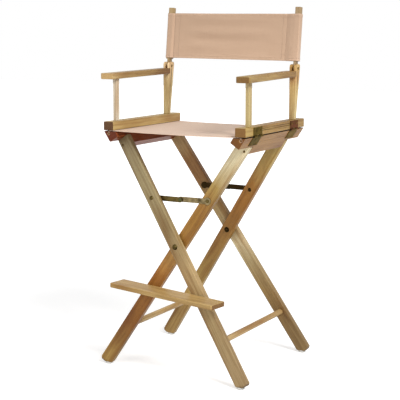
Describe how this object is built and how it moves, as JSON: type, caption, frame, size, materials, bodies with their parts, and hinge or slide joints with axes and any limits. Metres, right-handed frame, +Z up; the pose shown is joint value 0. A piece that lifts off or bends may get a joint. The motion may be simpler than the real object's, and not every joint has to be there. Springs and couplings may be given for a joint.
{
  "type": "tall folding sling chair",
  "caption": "Tall folding chair with crossed splayed legs, sling seat and sling back, hinged arms, fold-down back sticks and a swing-up footrest board.",
  "frame": {"origin": "on the floor, under the middle of the chair's footprint", "axes": "+Z up, -Y the way the sitter faces, +X to the left hand of the sitter"},
  "size_m": [0.5502, 0.5358, 1.156],
  "materials": {
    "oak": "satin lacquer",
    "oak_rail": "satin lacquer, warmer stain",
    "cloth": "plain-weave cotton canvas",
    "brass": "brass-plated steel, satin",
    "steel": "zinc-plated",
    "plastic": "moulded nylon"
  },
  "bodies": {
    "outer_leg_frame": {"outer_front_leg": "oak", "outer_rear_leg": "oak", "left_seat_rail": "oak_rail", "outer_stretcher": "oak", "outer_glides": "plastic", "outer_leg_screws": "brass", "crossing_bolts": "brass", "crossing_spacers": "steel", "left_seat_hinge_leaves": "brass", "left_hinge_pins": "brass", "left_seat_hinge_screws": "brass", "left_cloth_dowel": "oak", "outer_stay_bolts": "brass", "seat_cloth": "cloth"},
    "inner_leg_frame": {"inner_front_leg": "oak", "inner_rear_leg": "oak", "right_seat_rail": "oak_rail", "inner_stretcher": "oak", "inner_glides": "plastic", "inner_leg_screws": "brass", "right_seat_hinge_leaves": "brass", "right_hinge_pins": "brass", "right_seat_hinge_screws": "brass", "right_cloth_dowel": "oak", "inner_stay_bolts": "brass", "footrest_peg": "oak"},
    "outer_front_link": {"outer_front_stay": "brass", "outer_front_stay_rivet": "brass"},
    "outer_rear_link": {"outer_rear_stay": "brass", "outer_rear_stay_rivet": "brass"},
    "inner_front_link": {"inner_front_stay": "brass", "inner_front_stay_rivet": "brass"},
    "inner_rear_link": {"inner_rear_stay": "brass", "inner_rear_stay_rivet": "brass"},
    "left_arm": {"left_arm_rail": "oak_rail", "left_front_post": "oak", "left_rear_post": "oak", "left_armrest": "oak", "left_arm_hinge_leaves": "brass", "left_arm_screws": "brass", "left_back_bolt": "steel"},
    "right_arm": {"right_arm_rail": "oak_rail", "right_front_post": "oak", "right_rear_post": "oak", "right_armrest": "oak", "right_arm_hinge_leaves": "brass", "right_arm_screws": "brass", "right_back_bolt": "steel"},
    "left_stick": {"left_back_stick": "oak", "back_cloth": "cloth"},
    "right_stick": {"right_back_stick": "oak"},
    "footrest": {"footrest_board": "oak", "footrest_washer": "steel", "footrest_bolt": "steel"}
  },
  "joints": [
    {"name": "scissor", "type": "hinge", "parent": "outer_leg_frame", "child": "inner_leg_frame", "pos_m": [0, 0.02895, 0.412], "axis": [0, -1, 0], "range_deg": [0, 58], "deforming": ["seat_cloth", "back_cloth"]},
    {"name": "left_arm_hinge", "type": "hinge", "parent": "outer_leg_frame", "child": "left_arm", "pos_m": [-0.2563, 0.02895, 0.767], "axis": [0, -1, 0], "range_deg": [0, 29]},
    {"name": "right_arm_hinge", "type": "hinge", "parent": "inner_leg_frame", "child": "right_arm", "pos_m": [0.2563, 0.02895, 0.767], "axis": [0, 1, 0], "range_deg": [0, 29]},
    {"name": "left_back_pivot", "type": "hinge", "parent": "left_arm", "child": "left_stick", "pos_m": [-0.237, 0.19895, 0.9593], "axis": [1, 0, 0], "range_deg": [0, 90]},
    {"name": "right_back_pivot", "type": "hinge", "parent": "right_arm", "child": "right_stick", "pos_m": [0.237, 0.19895, 0.9593], "axis": [1, 0, 0], "range_deg": [0, 90]},
    {"name": "outer_front_stay_pivot", "type": "hinge", "parent": "outer_leg_frame", "child": "outer_front_link", "pos_m": [-0.09371, -0.14249, 0.55788], "axis": [0.0452, 0.9965, -0.0704], "range_deg": [0, 54.6]},
    {"name": "inner_front_stay_pivot", "type": "hinge", "parent": "inner_leg_frame", "child": "inner_front_link", "pos_m": [0.09371, -0.11549, 0.55788], "axis": [0.0452, -0.9965, 0.0704], "range_deg": [0, 54.6]},
    {"name": "outer_rear_stay_pivot", "type": "hinge", "parent": "outer_leg_frame", "child": "outer_rear_link", "pos_m": [-0.09371, 0.20039, 0.55788], "axis": [-0.0452, 0.9965, 0.0704], "range_deg": [0, 54.6]},
    {"name": "inner_rear_stay_pivot", "type": "hinge", "parent": "inner_leg_frame", "child": "inner_rear_link", "pos_m": [0.09371, 0.17339, 0.55788], "axis": [-0.0452, -0.9965, -0.0704], "range_deg": [0, 54.6]},
    {"name": "footrest_pivot", "type": "hinge", "parent": "outer_leg_frame", "child": "footrest", "pos_m": [0.09458, -0.18568, 0.26476], "axis": [0.1305, 0.9914, 0], "range_deg": [0, 50]}
  ],
  "couplings": [
    {"joint": "left_arm_hinge", "follows": "scissor", "ratio": 0.5},
    {"joint": "right_arm_hinge", "follows": "scissor", "ratio": 0.5},
    {"joint": "right_back_pivot", "follows": "left_back_pivot", "ratio": 1},
    {"joint": "outer_front_stay_pivot", "follows": "scissor", "ratio": 0.9326},
    {"joint": "inner_front_stay_pivot", "follows": "scissor", "ratio": 0.9326},
    {"joint": "outer_rear_stay_pivot", "follows": "scissor", "ratio": 0.9326},
    {"joint": "inner_rear_stay_pivot", "follows": "scissor", "ratio": 0.9326}
  ]
}
